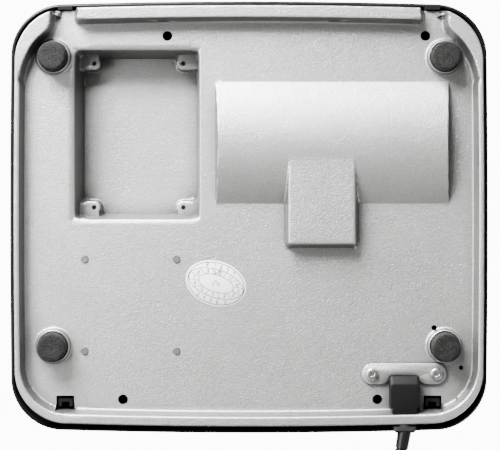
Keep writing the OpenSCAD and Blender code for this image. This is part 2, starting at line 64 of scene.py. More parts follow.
class Wire:
    """A socket of a material's nodes. Arithmetic on it adds Math nodes to the material."""

    def __init__(self, tree, socket=None):
        self.tree = tree
        self.socket = socket

    def node(self, kind, settings=None, sockets=None, out=0):
        made = self.tree.nodes.new("ShaderNode" + kind)
        for name, value in (settings or {}).items():
            if name == "stops":
                ramp = made.color_ramp.elements
                while len(ramp) < len(value):
                    ramp.new(0.5)
                for element, (place, grey) in zip(ramp, value):
                    element.position = place
                    element.color = (grey, grey, grey, 1.0)
            else:
                setattr(made, name, value)
        for name, value in (sockets or {}).items():
            if isinstance(value, Wire):
                self.tree.links.new(value.socket, made.inputs[name])
            else:
                made.inputs[name].default_value = value
        return Wire(self.tree, made.outputs[out])

    def math(self, operation, first, second=0.0):
        return self.node("Math", {"operation": operation}, {0: first, 1: second})

    def __add__(self, other):
        return self.math("ADD", self, other)

    def __radd__(self, other):
        return self.math("ADD", other, self)

    def __sub__(self, other):
        return self.math("SUBTRACT", self, other)

    def __rsub__(self, other):
        return self.math("SUBTRACT", other, self)

    def __mul__(self, other):
        return self.math("MULTIPLY", self, other)

    def __rmul__(self, other):
        return self.math("MULTIPLY", other, self)

    def mix(self, low, high):
        """The colour low where this value is 0, and high where it is 1."""
        colours = {6: low, 7: high}
        sockets = {0: self, **colours}
        return self.node("Mix", {"data_type": "RGBA"}, sockets, out=2)


def new_finish(name):
    material = bpy.data.materials.new(name)
    material.use_nodes = True
    material.node_tree.nodes.clear()
    return material, Wire(material.node_tree)


def set_surface(wire, shader):
    output = wire.tree.nodes.new("ShaderNodeOutputMaterial")
    wire.tree.links.new(shader.socket, output.inputs["Surface"])


def noise(wire, scale, detail=3.0, rough=0.55):
    place = wire.node("TexCoord", out=3)
    return wire.node("TexNoise", {}, {"Vector": place, "Scale": scale, "Detail": detail, "Roughness": rough})


floor_finish, wire = new_finish("studio_floor")
behind = wire.node("NewGeometry", out=6)
pale = wire.node("BsdfDiffuse", {}, {"Color": noise(wire, 3.0).mix((0.80, 0.80, 0.79, 1),
                                                                   (0.84, 0.84, 0.83, 1))})
clear = wire.node("BsdfTransparent")
set_surface(wire, wire.node("MixShader", {}, {0: behind, 1: pale, 2: clear}))
half = FLOOR_SIDE / 2
floor_mesh = bpy.data.meshes.new("studio_floor")
floor_mesh.from_pydata([(-half, -half, -0.0003), (half, -half, -0.0003), (half, half, -0.0003),
                        (-half, half, -0.0003)],
                       [], [(0, 1, 2, 3)])
floor = bpy.data.objects.new("studio_floor", floor_mesh)
floor_mesh.materials.append(floor_finish)
bpy.context.scene.collection.objects.link(floor)
floor.visible_shadow = False
floor.visible_diffuse = False
floor.visible_glossy = False
floor.visible_transmission = False


def softbox(name, place, aim, side, power):
    lamp = bpy.data.lights.new(name, "AREA")
    lamp.shape = "SQUARE"
    lamp.size = side
    lamp.energy = power
    lamp_object = bpy.data.objects.new(name, lamp)
    lamp_object.location = place
    lamp_object.rotation_euler = (Vector(aim) - Vector(place)).to_track_quat("-Z", "Y").to_euler()
    bpy.context.scene.collection.objects.link(lamp_object)


softbox("key_below", (-0.54, -1.00, -0.55), (-0.02, -0.02, 0), 0.75, 142)
softbox("side_below", (-0.75, 0.05, -0.60), (-0.05, 0.05, 0), 0.5, 6)
softbox("edge_below", (1.0, 1.0, -0.12), (0.1, 0.1, 0.02), 0.5, 9)
softbox("fill_below", (0.9, 1.2, -1.6), (0, 0, 0), 1.2, 1)
softbox("key_above", (-1.0, -1.2, 1.6), (0, 0, 0), 1.0, 55)
softbox("fill_above", (1.3, 1.1, 1.5), (0, 0.1, 0), 1.4, 22)

world = bpy.data.worlds.new("studio")
bpy.context.scene.world = world
world.use_nodes = True
world.node_tree.nodes.clear()
wire = Wire(world.node_tree)
seen = wire.node("LightPath")
lit = wire.node("Background", {}, {"Color": (1, 1, 1, 1), "Strength": 0.13})
shown = wire.node("Background", {}, {"Color": (1, 1, 1, 1), "Strength": 12.0})
mixed = wire.node("MixShader", {}, {0: seen, 1: lit, 2: shown})
output = world.node_tree.nodes.new("ShaderNodeOutputWorld")
world.node_tree.links.new(mixed.socket, output.inputs["Surface"])


# The signal cord: 6 mm round black jacket with a satin gloss, led out of the strain relief
# to the ground and wound in a coil of two layers, three turns each, that ends at the plug.
MM = 0.001
CORD_D = 6.0
COIL_MIDDLE = (40.0, 240.0)
COIL_OUTER_R = 42.0
COIL_TURNS = 3
STEPS_PER_TURN = 40
LEAD = [(99.3, 138.5, 9), (97, 152, 9), (94.6, 166, 9), (93.4, 174, 8.4), (92, 183, 7), (90.4, 192, 5.2),
        (88.6, 202, 3.8), (86.8, 212, 3.1), (85, 222, 3), (83.2, 231, 3)]
TAIL = [(82.2, 248, 8.9), (84, 257, 7.4), (88, 265, 5.8), (94, 271, 4.6), (101, 273.6, 4.2),
        (108, 271.6, 4.8), (113.4, 266, 5.8), (116.4, 258.4, 6.7), (117, 250, 7), (117, 247, 7)]


def coil_points():
    points = []
    for layer in range(2):
        for step in range(COIL_TURNS * STEPS_PER_TURN + (layer == 1)):
            turn = step / STEPS_PER_TURN
            inward = turn if layer == 0 else COIL_TURNS - turn
            radius = COIL_OUTER_R - CORD_D * inward
            climb = min(1.0, max(0.0, (turn - (COIL_TURNS - 0.35)) / 0.35)) if layer == 0 else 1.0
            height = CORD_D * (0.5 + climb * climb * (3 - 2 * climb))
            angle = 2 * math.pi * turn
            points.append((COIL_MIDDLE[0] + radius * math.cos(angle),
                           COIL_MIDDLE[1] + radius * math.sin(angle), height))
    return points


def smooth_line(points, steps):
    """Points on a smooth line through the given ones."""
    p = np.array(points, float)
    p = np.vstack([2 * p[0] - p[1], p, 2 * p[-1] - p[-2]])
    made = []
    for i in range(1, len(p) - 2):
        for s in range(steps):
            t = s / steps
            a = 2 * p[i]
            b = (p[i + 1] - p[i - 1]) * t
            c = (2 * p[i - 1] - 5 * p[i] + 4 * p[i + 1] - p[i + 2]) * t * t
            d = (3 * p[i] - p[i - 1] - 3 * p[i + 1] + p[i + 2]) * t ** 3
            made.append((a + b + c + d) / 2)
    made.append(p[-2])
    return np.array(made)


coil = coil_points()
route = np.vstack([smooth_line(LEAD + [coil[0]], 4)[:-1], coil[:-1], smooth_line([coil[-1]] + TAIL, 4)]) * MM
cord_curve = bpy.data.curves.new("signal_cord", "CURVE")
cord_curve.dimensions = "3D"
cord_curve.bevel_depth = CORD_D / 2 * MM
cord_curve.bevel_resolution = 4
cord_curve.use_fill_caps = True
spline = cord_curve.splines.new("POLY")
spline.points.add(len(route) - 1)
spline.points.foreach_set("co", np.hstack([route, np.ones((len(route), 1))]).ravel())
cord = bpy.data.objects.new("signal_cord_whole", cord_curve)
bpy.context.scene.collection.objects.link(cord)


def jacket_finish():
    material, wire = new_finish("cord_jacket")
    scuffs = noise(wire, 900.0, 4.0)
    colour = scuffs.mix((0.004, 0.004, 0.004, 1), (0.010, 0.010, 0.010, 1))
    bump = wire.node("Bump", {}, {"Strength": 0.15, "Distance": 0.0002, "Height": noise(wire, 2200.0)})
    set_surface(wire, wire.node("BsdfPrincipled", {}, {
        "Base Color": colour, "Roughness": 0.24 + 0.16 * scuffs, "Normal": bump, "Specular IOR Level": 0.45}))
    return material


jacket = jacket_finish()
cord_curve.materials.append(jacket)
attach(cord, "base")
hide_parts("signal_cord", "cord_tail", "cord_coil")


# The strain relief: a soft moulded sleeve that tapers from the bushing to the cord, with
# four short grooves that let it bend. It leans towards the left with the cord.
def new_piece(name, points, faces, body, slot, finish, stands_for=(), sharp=35.0):
    """A piece from points in millimetres and its faces, smooth but for edges sharper than sharp degrees."""
    mesh = bpy.data.meshes.new(name)
    mesh.from_pydata([tuple(p) for p in np.asarray(points, float) * MM], [], [tuple(f) for f in faces])
    mesh.polygons.foreach_set("use_smooth", [True] * len(mesh.polygons))
    mesh.set_sharp_from_angle(angle=math.radians(sharp))
    mesh.materials.append(finish)
    mesh.validate()
    piece = bpy.data.objects.new(name, mesh)
    bpy.context.scene.collection.objects.link(piece)
    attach(piece, body)
    if stands_for:
        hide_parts(*stands_for)
    return piece


def loft(rings):
    """Points and faces of a closed skin through rings of equal length, with flat ends."""
    count = len(rings[0])
    points = np.vstack(rings)
    faces = []
    for i in range(len(rings) - 1):
        for k in range(count):
            j = (k + 1) % count
            faces.append((i * count + k, i * count + j, (i + 1) * count + j, (i + 1) * count + k))
    faces.append(tuple(range(count - 1, -1, -1)))
    last = (len(rings) - 1) * count
    faces.append(tuple(last + k for k in range(count)))
    return points, faces


def turned(profile, start, along, sides=48):
    """A turned solid: profile is (distance along the axis, radius), from start towards along."""
    axis = Vector(along).normalized()
    u = axis.orthogonal().normalized()
    v = axis.cross(u)
    angles = np.arange(sides) * 2 * math.pi / sides
    circle = np.outer(np.cos(angles), u) + np.outer(np.sin(angles), v)
    rings = [np.array(start) + distance * np.array(axis) + max(radius, 0.02) * circle
             for distance, radius in profile]
    return loft(rings)


def merged(parts):
    """Several (points, faces) pairs as one."""
    points, faces, first = [], [], 0
    for part_points, part_faces in parts:
        points.append(np.asarray(part_points, float))
        faces += [tuple(first + i for i in face) for face in part_faces]
        first += len(part_points)
    return np.vstack(points), faces


def corners_mm(node):
    low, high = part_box(node)
    return np.array(low) / MM, np.array(high) / MM


bushing_low, bushing_high = corners_mm("cord_bushing")
cord_x = (bushing_low[0] + bushing_high[0]) / 2
cord_z = (bushing_low[2] + bushing_high[2]) / 2
LEAN = math.radians(9.3)
boot_way = (-math.sin(LEAN), math.cos(LEAN), 0)
BOOT_LENGTH = 30.0
BOOT_R = 4.4
BOOT_END_R = 3.5
boot_profile = [(0, BOOT_R - 0.3), (0.3, BOOT_R)]
for groove in range(4):
    place = 11 + 4.2 * groove
    for step, depth in ((0, 0), (0.4, 0.5), (1.2, 0.5), (1.6, 0)):
        distance = place + step
        boot_profile.append((distance, BOOT_R + (BOOT_END_R - BOOT_R) * distance / BOOT_LENGTH - depth))
boot_profile += [(BOOT_LENGTH - 0.6, BOOT_END_R), (BOOT_LENGTH, BOOT_END_R - 0.4),
                 (BOOT_LENGTH, CORD_D / 2 - 0.1)]
boot_start = (cord_x, bushing_high[1] - 0.8, cord_z)
boot = new_piece("strain_relief", *turned(boot_profile, boot_start, boot_way), "base", "cord_jacket", jacket,
                 ["cord_boot"])


# The hook-and-loop tie round the coil: a grey woven strap, 10 mm wide, closed on itself.
tie_low, tie_high = corners_mm("cord_tie")


def strap_finish():
    material, wire = new_finish("woven_strap")
    place = wire.node("TexCoord", out=3)
    weave = wire.node("TexWave", {"wave_type": "BANDS", "bands_direction": "Y"},
                      {"Vector": place, "Scale": 420.0, "Distortion": 1.0}, out=1)
    colour = weave.mix((0.05, 0.05, 0.055, 1), (0.11, 0.11, 0.12, 1))
    bump = wire.node("Bump", {}, {"Strength": 0.5, "Distance": 0.0003, "Height": weave})
    set_surface(wire, wire.node("BsdfPrincipled", {}, {"Base Color": colour, "Roughness": 0.85,
                                                       "Normal": bump}))
    return material


def strap_ring(y, grow):
    """One cross-section of the strap: a rounded loop in the X-Z plane at y, grown outwards."""
    w = (tie_high[0] - tie_low[0]) / 2 + grow
    h = (tie_high[2] - tie_low[2]) / 2 + grow
    middle_x = (tie_low[0] + tie_high[0]) / 2
    middle_z = (tie_low[2] + tie_high[2]) / 2
    ring = []
    for k in range(48):
        a = 2 * math.pi * k / 48
        c, s = math.cos(a), math.sin(a)
        ring.append((middle_x + w * math.copysign(abs(c) ** 0.35, c), y,
                     middle_z + h * math.copysign(abs(s) ** 0.35, s)))
    return np.array(ring)


strap_t = 0.8
outline = [strap_ring(tie_low[1], -0.05), strap_ring(tie_high[1], -0.05),
           strap_ring(tie_high[1], -strap_t), strap_ring(tie_low[1], -strap_t)]
strap_points = np.vstack(outline)
strap_faces = [(r * 48 + k, r * 48 + (k + 1) % 48, (r + 1) % 4 * 48 + (k + 1) % 48, (r + 1) % 4 * 48 + k)
               for r in range(4) for k in range(48)]
tie = new_piece("coil_tie", strap_points, strap_faces, "base", "dark_chip", strap_finish(), ["cord_tie"])


# The plug: a nickel-plated metal shell with grip grooves, a black insert with five pins,
# and a knurled ring that turns freely on the shell's nose.
def plated_finish(name, dark, light, rough):
    material, wire = new_finish(name)
    cloud = noise(wire, 120.0, 4.0)
    fine = noise(wire, 1800.0, 3.0)
    bump = wire.node("Bump", {}, {"Strength": 0.12, "Distance": 0.0001, "Height": fine})
    set_surface(wire, wire.node("BsdfPrincipled", {}, {
        "Base Color": cloud.mix(dark, light), "Metallic": 1.0, "Roughness": rough + 0.15 * fine,
        "Normal": bump}))
    return material


nickel = plated_finish("nickel_plate", (0.50, 0.49, 0.46, 1), (0.66, 0.65, 0.62, 1), 0.18)
shell_low, shell_high = corners_mm("plug_shell")
ring_low, ring_high = corners_mm("plug_ring")
plug_x = (shell_low[0] + shell_high[0]) / 2
plug_z = (shell_low[2] + shell_high[2]) / 2
plug_start = (plug_x, shell_high[1], plug_z)
plug_way = (0, -1, 0)
shell_profile = [(0, 3.3), (0, 4.0), (0.4, 4.3), (6.6, 4.3), (7.0, 5.6), (7.6, 6.0)]
for groove in range(5):
    place = 10 + 2.4 * groove
    shell_profile += [(place, 6.0), (place + 0.3, 5.6), (place + 0.9, 5.6), (place + 1.2, 6.0)]
shell_profile += [(26.4, 6.0), (27, 5.4), (27, 5.0), (40.6, 5.0), (41, 4.7)]
shell = new_piece("plug_shell_turned", *turned(shell_profile, plug_start, plug_way), "base", "zinc_steel",
                  nickel,
                  ["plug_shell"])


def knurled_ring():
    sides = 96
    length = ring_high[1] - ring_low[1]
    bore = 5.3
    rings = []
    for distance, radius, depth in ((0, bore, 0), (0, 6.5, 0), (0.5, 6.95, 0), (1.5, 6.95, 0),
                                    (1.9, 6.95, 0.35),
                                    (length - 1.9, 6.95, 0.35), (length - 1.5, 6.95, 0),
                                    (length - 0.5, 6.95, 0),
                                    (length, 6.5, 0), (length, bore, 0)):
        ring = []
        for k in range(sides):
            a = 2 * math.pi * k / sides
            r = radius - (depth if k % 4 < 2 else 0)
            ring.append((plug_x + r * math.cos(a), ring_high[1] - distance, plug_z + r * math.sin(a)))
        rings.append(ring)
    points = np.array(rings).reshape(-1, 3)
    faces = [(i * sides + k, (i + 1) % len(rings) * sides + k, (i + 1) % len(rings) * sides + (k + 1) % sides,
              i * sides + (k + 1) % sides) for i in range(len(rings)) for k in range(sides)]
    return points, faces


coupling = new_piece("plug_ring_knurled", *knurled_ring(), "coupling_ring", "zinc_steel", nickel,
                     ["plug_ring"])


def moulded_finish(name, dark, light, rough, shine=0.5):
    material, wire = new_finish(name)
    fine = noise(wire, 1500.0, 4.0)
    bump = wire.node("Bump", {}, {"Strength": 0.25, "Distance": 0.0001, "Height": fine})
    set_surface(wire, wire.node("BsdfPrincipled", {}, {
        "Base Color": fine.mix(dark, light), "Roughness": rough + 0.12 * fine, "Normal": bump,
        "Specular IOR Level": shine}))
    return material


dark_moulding = moulded_finish("dark_moulding", (0.012, 0.012, 0.013, 1), (0.028, 0.028, 0.029, 1), 0.42)
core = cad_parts["plug_core"]
core.data.materials.clear()
core.data.materials.append(dark_moulding)

# The base: one aluminium die casting with silver-grey paint. Its flat floor is recessed in a
# rim and carries the open pocket, the half-round bulge over the load cell with its tab, four
# rings for the feet and the holes that screws and tools go through.
FLOOR_Z = 14.0
FLOOR_T = 3.0
WALL_T = 3.3
WALL_TOP_Z = 38.0
CORNER_R = 32.0
FRONT_BOW = 3.0
SIDE_BOW = 1.2
base_low, base_high = corners_mm("base_wall")
base_w = base_high[0] - base_low[0]
base_d = base_high[1] - base_low[1]
base_mid = (base_low[1] + base_high[1]) / 2
foot_places = [((low + high) / 2)[:2] for low, high in
               (corners_mm("foot_" + where)
                for where in ("front_left", "front_right", "rear_left", "rear_right"))]
pocket_low, pocket_high = corners_mm("base_pocket")
pocket_middle = (pocket_low + pocket_high)[:2] / 2
BOSS_GAP = (29.0, 46.75)
boss_places = [(pocket_middle[0] + i * BOSS_GAP[0], pocket_middle[1] + j * BOSS_GAP[1], i, j)
               for i in (-1, 1) for j in (-1, 1)]
LEG_X = 118.0
round_holes = [(-52.5, -116.7, 3.2), (113.4, -116.7, 3.2), (-81, 117, 3.2), (82.5, 117, 3.2), (119, 71, 1.75),
               (136.4, 96.6, 1.45), (133.4, 116.2, 0.6)]
tip_places = [(-105.5, 27), (-46.5, 27), (-105.5, 86), (-46.5, 86)]
window = (LEG_X, 119.0, 5.75, 4.5)


def bowed_outline(width, depth, radius, step=1.5, middle=0.0):
    """Points round a plate with round corners and slightly bowed sides."""
    w, d = width - 2 * SIDE_BOW, depth - 2 * FRONT_BOW
    a, b = w / 2 - radius, d / 2 - radius
    arc = [(radius * math.cos(t), radius * math.sin(t)) for t in np.linspace(0, math.pi / 2, 33)]
    across = list(np.linspace(a, -a, int(2 * a / step) + 1))[1:-1]
    along = list(np.linspace(b, -b, int(2 * b / step) + 1))[1:-1]
    points = [(a + x, b + y) for x, y in arc] + [(x, b + radius) for x in across]
    points += [(-a - y, b + x) for x, y in arc] + [(-a - radius, y) for y in along]
    points += [(-a - x, -b - y) for x, y in arc] + [(-x, -b - radius) for x in across]
    points += [(a + y, -b - x) for x, y in arc] + [(a + radius, -y) for y in along]
    p = np.array(points)
    x = p[:, 0] * (1 + 2 * SIDE_BOW / w * (1 - (2 * p[:, 1] / d) ** 2))
    y = p[:, 1] * (1 + 2 * FRONT_BOW / d * (1 - (2 * p[:, 0] / w) ** 2))
    return np.column_stack([x, y + middle])


def soft_max(a, b, k):
    return (a + b + np.sqrt((a - b) ** 2 + k * k)) / 2


def soft_min(a, b, k):
    return (a + b - np.sqrt((a - b) ** 2 + k * k)) / 2


def eased(t, k=0.12):
    """0 below 0 and 1 above 1, with both corners rounded."""
    return np.clip(soft_max(soft_min(t, 1.0, k), 0.0, k), 0, 1)


def inside_of(points, loop):
    """How far each point lies inside a closed loop; negative outside it."""
    a, b = loop, np.roll(loop, -1, axis=0)
    best = np.full(len(points), 1e9)
    crossings = np.zeros(len(points), int)
    for (ax, ay), (bx, by) in zip(a, b):
        ex, ey = bx - ax, by - ay
        px, py = points[:, 0] - ax, points[:, 1] - ay
        t = np.clip((px * ex + py * ey) / max(ex * ex + ey * ey, 1e-12), 0, 1)
        best = np.minimum(best, (px - t * ex) ** 2 + (py - t * ey) ** 2)
        if ay != by:
            crossings += ((ay > points[:, 1]) != (by > points[:, 1])) & (px < ex * py / ey)
    return np.where(crossings % 2, 1, -1) * np.sqrt(best)


def cut_corners(line, times=2):
    line = np.array(line, float)
    for _ in range(times):
        a, b = line[:-1], line[1:]
        middle = np.stack([0.75 * a + 0.25 * b, 0.25 * a + 0.75 * b], 1).reshape(-1, 2)
        line = np.vstack([line[:1], middle, line[-1:]])
    return line


outline = bowed_outline(base_w, base_d, CORNER_R, 1.5, base_mid)
in_notch = (abs(abs(outline[:, 0]) - LEG_X) < 8) & (outline[:, 1] < 0)
outline[in_notch, 1] = -132.7
FRONT_RIM_W = 7.5
REAR_RIM_W = 5.9
inner_edge = bowed_outline(base_w - 2 * WALL_T, base_d - WALL_T - REAR_RIM_W, CORNER_R - WALL_T, 4.0,
                           base_mid + (WALL_T - REAR_RIM_W) / 2)
front = base_low[1]
GUSSET = [(2.8, 47.5), (6, 34.5), (13, 22.7), (20.5, 16.5), (23.4, 11.5), (23.4, -4)]
gusset = cut_corners([(base_high[0] - x, front + y) for x, y in GUSSET])
rear_part = inner_edge[inner_edge[:, 1] > front + 47.5]
order = np.argsort(np.arctan2(rear_part[:, 0], rear_part[:, 1] + 60))
rear_part = rear_part[order]
rim_line = [(x, front + FRONT_RIM_W + FRONT_BOW * (2 * x / base_w) ** 2) for x in np.linspace(109, -109, 15)]
front_part = np.array([(110, front - 4), (110, rim_line[0][1] - 1)] + rim_line + [(-110, rim_line[0][1] - 1),
                                                                                 (-110, front - 4)])
recess = np.vstack([rear_part, gusset, front_part, gusset[::-1] * (-1, 1)])

# Depth of the casting's underside at each place: 0 at the floor, 10 mm at the rim, -24 in the pocket
POCKET_LIP = ((-112.7, 4.6), (-31.8, 2.8), (-108.1, 4.5), (1.3, 3.5))
BULGE = (-21.5, 128.5, -48.0, 39.0, 81.05, 10.0)
TAB = (22.5, 70.5, 19.5, 9.4)


def underside(x, y):
    points = np.column_stack([x, y])
    to_recess = np.full(len(x), 30.0)
    near = (abs(x) > 100) | (y > 110) | (y < -110)
    to_recess[near] = inside_of(points[near], recess)
    run = np.where(y < -126, 1.9, 2.3)
    h = 10 * (1 - eased(to_recess / run, 0.09))
    # the bulge with its slanted ends, and the tab that runs back from it
    x0, x1, mid, half_w, radius, drop = BULGE
    arch = np.sqrt(np.maximum(radius ** 2 - (y - mid) ** 2, 1)) - (radius - drop)
    ends = np.minimum(x - x0, x1 - x) * 6.5
    bulge = soft_min(arch, ends, 0.5)
    tx0, tx1, ty, tab_drop = TAB
    corner = 3.5
    qx = np.maximum(np.maximum(tx0 + corner - x, x - tx1 + corner), 0)
    qy = np.maximum(y - ty + corner, 0)
    side = corner - np.hypot(qx, qy)
    side = np.where((qx == 0) & (qy == 0), np.minimum(np.minimum(x - tx0, tx1 - x), ty - y), side)
    tab = soft_min(side * tab_drop / 2.8, tab_drop, 1.0)
    tab = np.where(y > mid, tab, -5)
    raised = soft_max(bulge, tab, 0.15)
    raised = np.where((raised > 0.02), raised, 0)
    h = np.maximum(h, raised)
    # the pocket with its drafted walls and soft lip
    left, right, near_side, far_side = POCKET_LIP
    depth = soft_min(soft_min((x - left[0]) / left[1], (right[0] - x) / right[1], 0.35),
                     soft_min((y - near_side[0]) / near_side[1], (far_side[0] - y) / far_side[1], 0.35), 0.5)
    depth = np.clip(depth + 0.07, 0, None)
    pocket = 24 * np.where(depth < 0.3, depth * depth / 0.6, np.minimum(depth - 0.15, 0.86) / 0.86)
    pocket = 24 * eased(pocket / 24, 0.03)
    pocket[(x < left[0] - 0.5) | (x > right[0] + 0.5) | (y < near_side[0] - 0.5)
           | (y > far_side[0] + 0.5)] = 0
    for bx, by, i, j in boss_places:
        distance = np.hypot(np.minimum(i * (x - bx), 0), np.minimum(j * (y - by), 0)) - 4.5
        rise = 12 * (1 - eased(distance / 0.7 + 0.6, 0.15))
        hole = np.hypot(x - bx, y - by) < 1.52
        pocket = np.where(hole, 15.5, np.minimum(pocket, np.where(distance < 1.2, 24 - rise, 24)))
    h = h - pocket
    for fx, fy in foot_places:
        r = np.hypot(x - fx, y - fy)
        ring = 4.5 * eased((r - 9.36) / 0.3) * (1 - eased((r - 10.5) / 0.9, 0.3))
        h = np.where(ring > 0.01, np.maximum(h, ring), h)
    for nx in (-LEG_X, LEG_X):
        strip = (abs(x - nx) < 6.9) & (abs(y + 130.2) < 0.75)
        h = np.where(strip, np.maximum(h, 4.0), h)
    rib = (abs(x + 115.8) < 0.7) & (abs(y + 104.5) < 1.5)
    h = np.where(rib, np.maximum(h, 2.0), h)
    for sx, sy in tip_places:
        r = np.hypot(x - sx, y - sy)
        h = h + np.where(r < 2.7, 0.3 * (1 - eased((r - 1.3) / 0.3)) - 0.7 * (abs(r - 1.95) < 0.42), 0)
    edge = outer_distance(points)
    rounded = 0.9 * (1 - np.sqrt(np.clip(1 - np.clip(1 - edge / 0.9, 0, 1) ** 2, 0, 1)))
    return FLOOR_Z - h + np.where(h > 5, rounded, 0)


def outer_distance(points):
    near = (abs(points[:, 0]) > 110) | (abs(points[:, 1] - base_mid) > 110)
    distance = np.full(len(points), 30.0)
    distance[near] = inside_of(points[near], outline)
    return distance


def topside(x, y, under):
    edge = outer_distance(np.column_stack([x, y]))
    top = np.minimum(np.where(under < FLOOR_Z - 0.5, under + FLOOR_T + 0.4, FLOOR_Z + FLOOR_T), 17)
    rim = (edge < 12) & (under < FLOOR_Z)
    top = np.where(rim, 17, top)
    boxed = ((x > pocket_low[0]) & (x < pocket_high[0]) & (y > pocket_low[1]) & (y < pocket_high[1]))
    top = np.where(boxed, WALL_TOP_Z + FLOOR_T, top)
    return np.where(edge < WALL_T + 0.01, WALL_TOP_Z, top)


def patch(x0, x1, y0, y1, step_x, step_y):
    xs = np.linspace(x0, x1, max(2, int(round((x1 - x0) / step_x)) + 1))
    ys = np.linspace(y0, y1, max(2, int(round((y1 - y0) / step_y)) + 1))
    return np.array([(x, y) for x in xs for y in ys])


def circle(x, y, r, count):
    t = np.arange(count) * 2 * math.pi / count
    return np.column_stack([x + r * np.cos(t), y + r * np.sin(t)])


def boss_line(x, y, i, j, away):
    """Points round a pocket boss, a set distance outside its edge."""
    r = 4.5 + away
    line = [(x + i * step, y - j * r) for step in np.linspace(4.6, 0.3, 9)]
    line += [(x - i * r * math.sin(t), y - j * r * math.cos(t)) for t in np.linspace(0, math.pi / 2, 14)]
    return line + [(x - i * r, y + j * step) for step in (0.4, 0.9, 1.4)]


def cast_points():
    """Where the casting's skin has points: close together where it bends, far apart where it is flat."""
    l, r, n, f = (side[0] for side in POCKET_LIP)
    zones = [(l - 1, l + 7, n - 1, f + 1, 0.5, 1.3), (r - 5, r + 1, n - 1, f + 1, 0.45, 1.3),
             (l + 7, r - 5, n - 1, n + 7, 1.3, 0.5), (l + 7, r - 5, f - 6, f + 1, 1.3, 0.5),
             (-22.2, -17, -88, -8, 0.5, 1.3), (124, 129.2, -88, -8, 0.5, 1.3),
             (-17, 124, -88.2, -84, 2.4, 0.5), (-17, 124, -84, -10, 2.4, 1.4),
             (-17, 124, -10, -7.8, 1.6, 0.4),
             (21.5, 27, -42, 21, 0.5, 1.2), (66, 71.5, -42, 21, 0.5, 1.2), (27, 66, 14.5, 20.5, 1.2, 0.5)]
    for side in (-1, 1):
        a, b = sorted((side * 104, side * 149))
        zones += [(a, b, -136, -86, 0.9, 0.9), (a, b, 94, 133, 1.1, 1.1)]
    zones.append((-104, 104, -129, -123, 1.6, 0.45))
    zones += [(side * LEG_X - 8.5, side * LEG_X + 8.5, -132.4, -127.6, 1.2, 0.3) for side in (-1, 1)]
    for x, y, i, j in boss_places:
        a, b = sorted((x - i * 6.5, x + i * 4.4))
        c, d = sorted((y - j * 6.5, y + j * 0.8))
        zones.append((a, b, c, d, 0.7, 0.7))
    grid = patch(base_low[0], base_high[0], base_low[1], base_high[1], 3.0, 3.0)
    found = []
    for x0, x1, y0, y1, sx, sy in zones:
        clear_of = 0.4
        grid = grid[~((grid[:, 0] > x0 - clear_of) & (grid[:, 0] < x1 + clear_of)
                      & (grid[:, 1] > y0 - clear_of) & (grid[:, 1] < y1 + clear_of))]
        found.append(patch(x0, x1, y0, y1, sx, sy))
    points = np.vstack([grid[outer_distance(grid) > 9.8]] + found)
    rounds = [(x, y, r, (0, 0.5)) for x, y, r in round_holes]
    rounds += [(x, y, 1.5, (-1.5, -0.05, 0.05, 0.6, 1.4)) for x, y, _, _ in boss_places]
    rounds += [(x, y, 9.36, (-0.05, 0.1, 0.3, 0.7, 1.1, 1.5, 1.9, 2.3, 3.1, 4.3)) for x, y in foot_places]
    rounds += [(x, y, 2.05, (0, 0.5, 0.9, 1.2, 1.5)) for x, y in tip_places]
    for x, y, radius, steps in rounds:
        points = points[np.hypot(points[:, 0] - x, points[:, 1] - y) > radius + steps[-1] + 0.25]
    for x, y, radius, steps in rounds:
        count = int(max(16, min(72, 2 * math.pi * radius / 0.6)))
        points = np.vstack([points] + [circle(x, y, radius + step, count)
                                       for step in steps if radius + step > 0.1])
    for x, y, i, j in boss_places:
        u, v = np.minimum(i * (points[:, 0] - x), 0), np.minimum(j * (points[:, 1] - y), 0)
        beside = (abs(points[:, 0] - x) < 6.6) & (abs(points[:, 1] - y) < 6.6)
        points = points[~(beside & (abs(np.hypot(u, v) - 4.4) < 0.95))]
        points = np.vstack([points] + [boss_line(x, y, i, j, away) for away in
                                       (-0.75, -0.5, -0.36, -0.2, 0.0, 0.15, 0.3, 0.6)])
    points = points[outer_distance(points) > 3.9]
    insets = (0.12, 0.3, 0.6, 1.0, 1.6, 2.4, 3.25, 3.36, 3.75, 4.15, 4.55, 4.95, 5.35, 5.75, 6.15, 6.55, 6.95,
              7.35, 7.8, 8.3, 9.0)
    rings = [bowed_outline(base_w - 2 * i, base_d - 2 * i, CORNER_R - i, 1.6, base_mid) for i in insets]
    inner = [ring[outer_distance(ring) > i - 0.2] for ring, i in zip(rings, insets)]
    return np.vstack([points] + inner)


